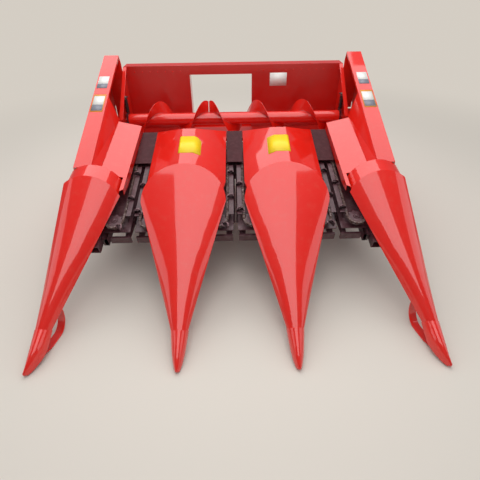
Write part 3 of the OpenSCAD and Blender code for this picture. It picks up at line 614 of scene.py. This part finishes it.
def makeSkid(name, kind, place):  # a bent strap that loops back up into the snout
    x, turn, frontZ, rearZ = skid[kind]
    line = spline([(skid["front"], frontZ), *skid["path"], (skid["rear"], rearZ)], skid["each"])
    line = [Vector((0, y, max(z, 0))) for y, z in line]
    across = Vector((skid["width"] / 2, 0, 0))
    rings = []
    for before, p, after in zip(line[:1] + line, line, line[1:] + line[-1:]):
        up = Vector((1, 0, 0)).cross((after - before).normalized()) * skid["thick"]
        rings.append([p - across, p + across, p + across + up, p - across + up])
    bm = bmesh.new()
    loft(bm, rings)
    turned = (Matrix.Translation((x, skid["ground"], 0)) @ Matrix.Rotation(math.radians(turn), 4, "Z")
              @ Matrix.Translation((0, -skid["ground"], 0)))
    piece = addPiece("snoutSkid_" + name, bm, "snout_" + name, redEnamel, place @ turned,
                     skid["smooth"])
    roundEdges(piece, skid["edge"], False)


collar = {"shrink": 18, "front": 870, "rear": 992, "rise": 0.2, "low": 560, "steps": 24}


def makeCollar(end, place):  # the band in front of an end shield, inside the outer snout's rear edge
    arc = rimArc(collar["shrink"], collar["steps"])
    bm = bmesh.new()
    sheet(bm, [[Vector((x, y, z + collar["rise"] * (y - snout["rimY"]))) for x, z in arc]
               + [Vector((arc[-1].x, y, collar["low"]))] for y in (collar["front"], collar["rear"])])
    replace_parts(addSkin("collarBand_" + end, bm, "frame", place), "collar_" + end)


ledge = {"y": 1158, "z": 683, "slope": 0.235}


def onLedge(y):  # the height of an end shield's ledge along its inner edge
    return ledge["z"] + ledge["slope"] * (y - ledge["y"])


flap = {"front": 890, "tip": 868, "rear": 993.6, "width": 22, "rise": 5, "frontDrop": 40, "rearDrop": 60}


def makeFlap(end, place):  # the pointed flap in front of an end shield's ledge
    inner, outer = header["ledgeIn"], header["ledgeIn"] + flap["width"]
    bm = bmesh.new()
    sheet(bm, [[Vector((inner, y, onLedge(y) - drop)), Vector((inner, y, onLedge(y))),
                Vector((outer, outerY, onLedge(outerY) + flap["rise"]))]
               for y, outerY, drop in ((flap["front"], flap["tip"], flap["frontDrop"]),
                                       (flap["rear"], flap["rear"], flap["rearDrop"]))])
    bmesh.ops.recalc_face_normals(bm, faces=bm.faces)
    addSkin("ledgeFlap_" + end, bm, "frame", place)


shieldEnd = {  # on the right it ends above the chain case
    "in": 921, "out": 1035, "low": {"left": 600, "right": 750}, "high": 830, "y": 2036, "thick": 3, "edge": 1,
    "smooth": 30,
}


def makeShieldEnd(end, place):
    x0, x1, low, high = shieldEnd["in"], shieldEnd["out"], shieldEnd["low"][end], shieldEnd["high"]
    upright = Matrix.Translation((0, shieldEnd["y"], 0)) @ Matrix.Rotation(math.radians(90), 4, "X")
    bm = bmesh.new()
    plate(bm, [(x0, low), (x1, low), (x1, high), (x0, high)], shieldEnd["thick"], upright, shieldEnd["edge"])
    addPiece("shieldEndStrip_" + end, bm, "frame", redEnamel, place, shieldEnd["smooth"], True)


for end, side in ends.items():
    place = toFrame @ sideways(side)
    for kind in ("inner", "outer"):
        makeSkin(f"{kind}_{end}", kind, place)
        makeNose(f"{kind}_{end}", kind, place)
        makeSkid(f"{kind}_{end}", kind, place)
    makeCollar(end, place)
    makeFlap(end, place)
    makeShieldEnd(end, place)
print("snouts and collars made")


# Gathering chains

chain = {
    "strandX": 52, "radius": 55, "front": 66, "rear": 700, "low": 42, "height": 20, "links": 42, "width": 14,
    "plate": 3, "gap": 0.2, "barrel": 6, "barrelInset": 6, "pin": 3.5, "pinOut": 1,
    "smooth": 40,
}
chainSpan = chain["rear"] - chain["front"]
chainTurn = math.pi * chain["radius"]
chainLength = 2 * (chainSpan + chainTurn)
chainTop = chain["low"] + chain["height"]


def onChain(u):  # a matrix at u along the loop: -x points away from the loop and y along the chain
    u %= chainLength
    radius = chain["radius"]
    if u < chainSpan:
        return Matrix.Translation((-radius, chain["front"] + u, 0))
    if chainSpan + chainTurn <= u < chainLength - chainTurn:
        return (Matrix.Translation((radius, chain["rear"] - (u - chainSpan - chainTurn), 0))
                @ Matrix.Rotation(math.pi, 4, "Z"))
    if u < chainSpan + chainTurn:
        centre, turn = chain["rear"], (chainSpan - u) / radius
    else:
        centre, turn = chain["front"], (chainLength - u) / radius
    return (Matrix.Translation((0, centre, 0)) @ Matrix.Rotation(turn, 4, "Z")
            @ Matrix.Translation((-radius, 0, 0)))


def arcPoints(centre, radius, start, end, count):
    turns = [math.radians(start + (end - start) * i / count) for i in range(count + 1)]
    return [(centre[0] + radius * math.cos(t), centre[1] + radius * math.sin(t)) for t in turns]


def makeLinks(bm, place):
    pins = [onChain(chainLength * i / chain["links"]).translation for i in range(chain["links"])]
    half, thick = chain["width"] / 2, chain["plate"]
    for i, a in enumerate(pins):
        b = pins[(i + 1) % len(pins)]
        inset = thick if i % 2 else 0
        reach = (b - a).length / 2
        along = Matrix.Rotation((b - a).to_2d().angle_signed(Vector((0, 1))), 4, "Z")
        oval = arcPoints((0, reach), half, 0, 180, 5) + arcPoints((0, -reach), half, 180, 360, 5)
        for z in (chain["low"] + inset, chainTop - thick - inset):
            spot = Matrix.Translation(((a.x + b.x) / 2, (a.y + b.y) / 2, z))
            plate(bm, oval, thick - chain["gap"], place @ spot @ along, 0)
        for radius, low, high in (
                (chain["barrel"], chain["low"] + chain["barrelInset"], chainTop - chain["barrelInset"]),
                (chain["pin"], chain["low"], chainTop + chain["pinOut"])):
            bmesh.ops.create_cone(bm, cap_ends=True, segments=10, radius1=radius, radius2=radius,
                                  depth=high - low,
                                  matrix=place @ Matrix.Translation((a.x, a.y, (low + high) / 2)))


lug = {
    "count": 7, "phases": {-1: 0.8, 1: 0.3}, "bow": 22, "innerBow": 21, "wall": 6, "height": 18, "foot": 3,
    "edge": 0.8, "steps": 14,
    "outside": (-11.5, 191.5), "inside": (175.6, 4.4),  # the crescent's two arcs, from and to in degrees
    "outline": ((8, -22), (8, 4), (-8, 4), (-36, -4), (-36, -9), (-8, -22)),  # the foot's
    "boltAt": (-5, -12), "bolt": 6,
}


def makeLugs(bm, place, phase):  # crescents that stand on the chain and reach into the row
    bow = lug["bow"]
    crescent = (arcPoints((-bow, -bow / 2), bow, *lug["outside"], lug["steps"])
                + arcPoints((-bow, -bow / 2 - lug["wall"]), lug["innerBow"], *lug["inside"], lug["steps"]))
    for i in range(lug["count"]):
        along = (i + phase) / lug["count"] * chainLength
        spot = place @ onChain(along) @ Matrix.Translation((0, 0, chainTop))
        plate(bm, crescent, lug["height"], spot, lug["edge"])
        plate(bm, lug["outline"], lug["foot"], spot, lug["edge"])
        bolt(bm, spot @ Matrix.Translation((*lug["boltAt"], lug["foot"])), lug["bolt"])


wheel = {
    "teeth": 9, "thick": 7, "edge": 0.6, "bolt": 11,
    "tooth": ((0, 43), (0.25, 44), (0.42, 52), (0.58, 52), (0.75, 44)),  # share of a tooth's turn, radius
    "hub": ((0, 0), (16, 0), (19, -3), (20, -6)),  # radius and height from the hub's top
    "disc": (38, 3, 4.5),  # radius, lower and upper face above the wheel's middle
}


def makeWheel(bm, spot, low):
    teeth = []
    for i in range(wheel["teeth"]):
        for share, radius in wheel["tooth"]:
            a = 2 * math.pi * (i + share) / wheel["teeth"]
            teeth.append((radius * math.cos(a), radius * math.sin(a)))
    middle = chain["low"] + chain["height"] / 2
    under = Matrix.Translation((0, 0, middle - wheel["thick"] / 2))
    plate(bm, teeth, wheel["thick"], spot @ under, wheel["edge"])
    hub = [(radius, chainTop + height) for radius, height in wheel["hub"]]
    lathe(bm, hub + [(hub[-1][0], low), (0, low)], spot)
    radius, lower, upper = wheel["disc"][0], middle + wheel["disc"][1], middle + wheel["disc"][2]
    lathe(bm, [(0, upper), (radius, upper), (radius, lower), (0, lower)], spot)
    bolt(bm, spot @ Matrix.Translation((0, 0, chainTop)), wheel["bolt"])


def makeChains(name, x):
    row = rowFrame(x)
    links, lugs, wheels = bmesh.new(), bmesh.new(), bmesh.new()
    for side in ends.values():
        loop = sideways(side) @ Matrix.Translation((chain["strandX"] + chain["radius"], 0, 0))
        makeLinks(links, loop)
        makeLugs(lugs, loop, lug["phases"][side])
        makeWheel(wheels, loop @ Matrix.Translation((0, chain["front"], 0)), 0)
        makeWheel(wheels, loop @ Matrix.Translation((0, chain["rear"], 0)), chain["low"])
    for bm in (links, lugs, wheels):  # the mirrored chain's faces turned inside out
        bmesh.ops.recalc_face_normals(bm, faces=bm.faces)
    piece = addPiece("chainLinks_" + name, links, "frame", chainSteel, row, chain["smooth"])
    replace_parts(piece, "chains_" + name)
    addPiece("chainLugs_" + name, lugs, "frame", lugSteel, row, chain["smooth"])
    addPiece("chainWheels_" + name, wheels, "frame", darkPaint, row, chain["smooth"])


for name, x in rowPlaces.items():
    makeChains(name, x)
print("gathering chains made")


# Auger

auger = {
    "tube": 50, "flight": 145, "pitch": 380, "thick": 5, "meetX": -213, "meetTurn": 128, "end": 860,
    "perTurn": 44, "bead": 5, "sunk": 3, "chamfer": 2,
}


def onAuger(x, radius):  # a point on the helix, whose hand changes where the flights meet
    turn = math.radians(auger["meetTurn"] - 360 * abs(x - auger["meetX"]) / auger["pitch"])
    return Vector((x, header["augerY"] - radius * math.cos(turn), header["augerZ"] + radius * math.sin(turn)))


def makeAuger():
    root, rim, half = auger["tube"] - auger["sunk"], auger["flight"], auger["thick"] / 2
    inner = rim - auger["chamfer"]
    section = ((root, -half), (inner, -half), (rim, -half / 2), (rim, half / 2), (inner, half), (root, half))
    flights, beads = bmesh.new(), bmesh.new()
    for side in ends.values():
        start, end = auger["meetX"] + side * auger["thick"], side * auger["end"]
        count = math.ceil(abs(end - start) / auger["pitch"] * auger["perTurn"])
        path = [start + (end - start) * i / count for i in range(count + 1)]
        loft(flights, [[onAuger(x, radius) + Vector((across, 0, 0)) for radius, across in section]
                       for x in path])
        tube(beads, [onAuger(x, auger["tube"]) for x in path], auger["bead"])
    piece = addPiece("augerFlights", flights, "auger", redEnamel)
    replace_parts(piece, "auger_flights")
    # the weld beads get the darker copy of the red enamel: painted shade
    addPiece("augerWeldBeads", beads, "auger", redEnamelShadedCopy)


makeAuger()
print("auger made")


# Springs, nuts and bolts

hanger = {  # heights are over the auger's axis
    "x": 891, "springLow": 66, "springHigh": 174, "coil": 14, "wire": 3.5, "turns": 9, "perTurn": 14,
    "nuts": ((190, 10), (177, 12)),  # height and size
    "plateX": header["innerHalf"] - 3, "plateBolts": ((-10, 150), (22, 150)), "plateBolt": 8,
}


def makeHangers():
    axisY, axisZ = header["augerY"], header["augerZ"]
    coils, nuts = bmesh.new(), bmesh.new()
    count = hanger["turns"] * hanger["perTurn"]
    rise = (hanger["springHigh"] - hanger["springLow"]) / count
    for side in ends.values():
        x = side * hanger["x"]
        path = []
        for i in range(count + 1):
            a = 2 * math.pi * i / hanger["perTurn"]
            path.append((x + hanger["coil"] * math.cos(a), axisY + hanger["coil"] * math.sin(a),
                         axisZ + hanger["springLow"] + rise * i))
        tube(coils, path, hanger["wire"])
        for height, size in hanger["nuts"]:
            bolt(nuts, Matrix.Translation((x, axisY, axisZ + height)), size)
        for y, z in hanger["plateBolts"]:  # through the side plate
            spot = facing((side * hanger["plateX"], axisY + y, axisZ + z), (-side, 0, 0))
            bolt(nuts, spot, hanger["plateBolt"])
    addPiece("hangerSprings", coils, "frame", springSteel)
    addPiece("hangerNuts", nuts, "frame", zincSteel)


wallBolts = {"z": 1062, "step": 64, "size": 6, "feedX": -108, "feedHalf": 290, "end": 900, "smooth": 30}


def makeWallBolts():  # along the top of the back wall, except over the feed opening
    heads = bmesh.new()
    count = wallBolts["end"] // wallBolts["step"]
    for x in [i * wallBolts["step"] for i in range(-count, count + 1)]:
        if abs(x - wallBolts["feedX"]) > wallBolts["feedHalf"]:
            spot = facing((x, header["wallY"], wallBolts["z"]), (0, -1, 0))
            bolt(heads, spot, wallBolts["size"], ("head", "crown"))
    addPiece("wallBolts", heads, "frame", redEnamel, smooth=wallBolts["smooth"])


makeHangers()
makeWallBolts()
print("hangers and bolts made")


# Blank plates in the places of the signs

film = {
    "lift": 0.7, "thick": 0.5, "over": 0.5, "smooth": 10,
    "hood": {"front": 512, "rear": 690, "inner": 50, "outer": 12},  # along the row, and past the ridge
    "crest": (  # name, x from and to, y from and to, film
        ("upperWhite", 952, 1030, 1720, 1795, whiteFilm), ("upperGrey", 952, 1030, 1675, 1720, greyFilm),
        ("lowerWhite", 948, 1027, 1514, 1596, whiteFilm), ("lowerGrey", 948, 1027, 1458, 1514, greyFilm),
        ("lowerEdge", 942, 1033, 1448, 1611, orangeFilm)),
    "wall": {"x": (312, 457), "z": (932, 1040)},
}


def addFilm(name, rows, material, place=toFrame):
    bm = bmesh.new()
    sheet(bm, rows)
    for face in bm.faces:
        face.smooth = False
    piece = addPiece(name, bm, "frame", material, place, film["smooth"], True)
    solid = piece.modifiers.new("film", "SOLIDIFY")
    solid.thickness, solid.offset = film["thick"] / 1000, 0


hood = {"ridge": 44, "half": 262, "ridgeZ": 221, "edgeZ": 105}  # half widths and heights in the row's frame


def onHood(x, y):  # a point on a hood's ridge or sloping side
    fall = max(0, abs(x) - hood["ridge"]) / (hood["half"] - hood["ridge"])
    return x, y, hood["ridgeZ"] - fall * (hood["ridgeZ"] - hood["edgeZ"]) + film["lift"]


crest = {"frontY": 993, "rearY": 2028, "frontZ": 729, "rise": 477}


def onCrest(x, y, lift):  # a point on an end shield's top
    along = (y - crest["frontY"]) / (crest["rearY"] - crest["frontY"])
    return x, y, crest["frontZ"] + along * crest["rise"] + film["lift"] + lift


def makeLabels(end, side):
    spot = film["hood"]
    across = (-hood["ridge"] - spot["inner"], -hood["ridge"], hood["ridge"], hood["ridge"] + spot["outer"])
    addFilm("hoodLabel_" + end, [[onHood(x, y) for x in across] for y in (spot["front"], spot["rear"])],
            yellowFilm, rowFrame(side * dividerX) @ sideways(side))
    for name, x0, x1, y0, y1, material in film["crest"]:
        lift = 0 if material is orangeFilm else film["over"]  # the border lies under the others
        addFilm(f"crestLabel_{name}_{end}", [[onCrest(x, y, lift) for x in (x0, x1)] for y in (y0, y1)],
                material, toFrame @ sideways(side))


for end, side in ends.items():
    makeLabels(end, side)
wall = header["wallY"] - film["lift"]
addFilm("wallLabel", [[(x, wall, z) for x in film["wall"]["x"]] for z in film["wall"]["z"]], whiteFilm)
print("blank plates made")
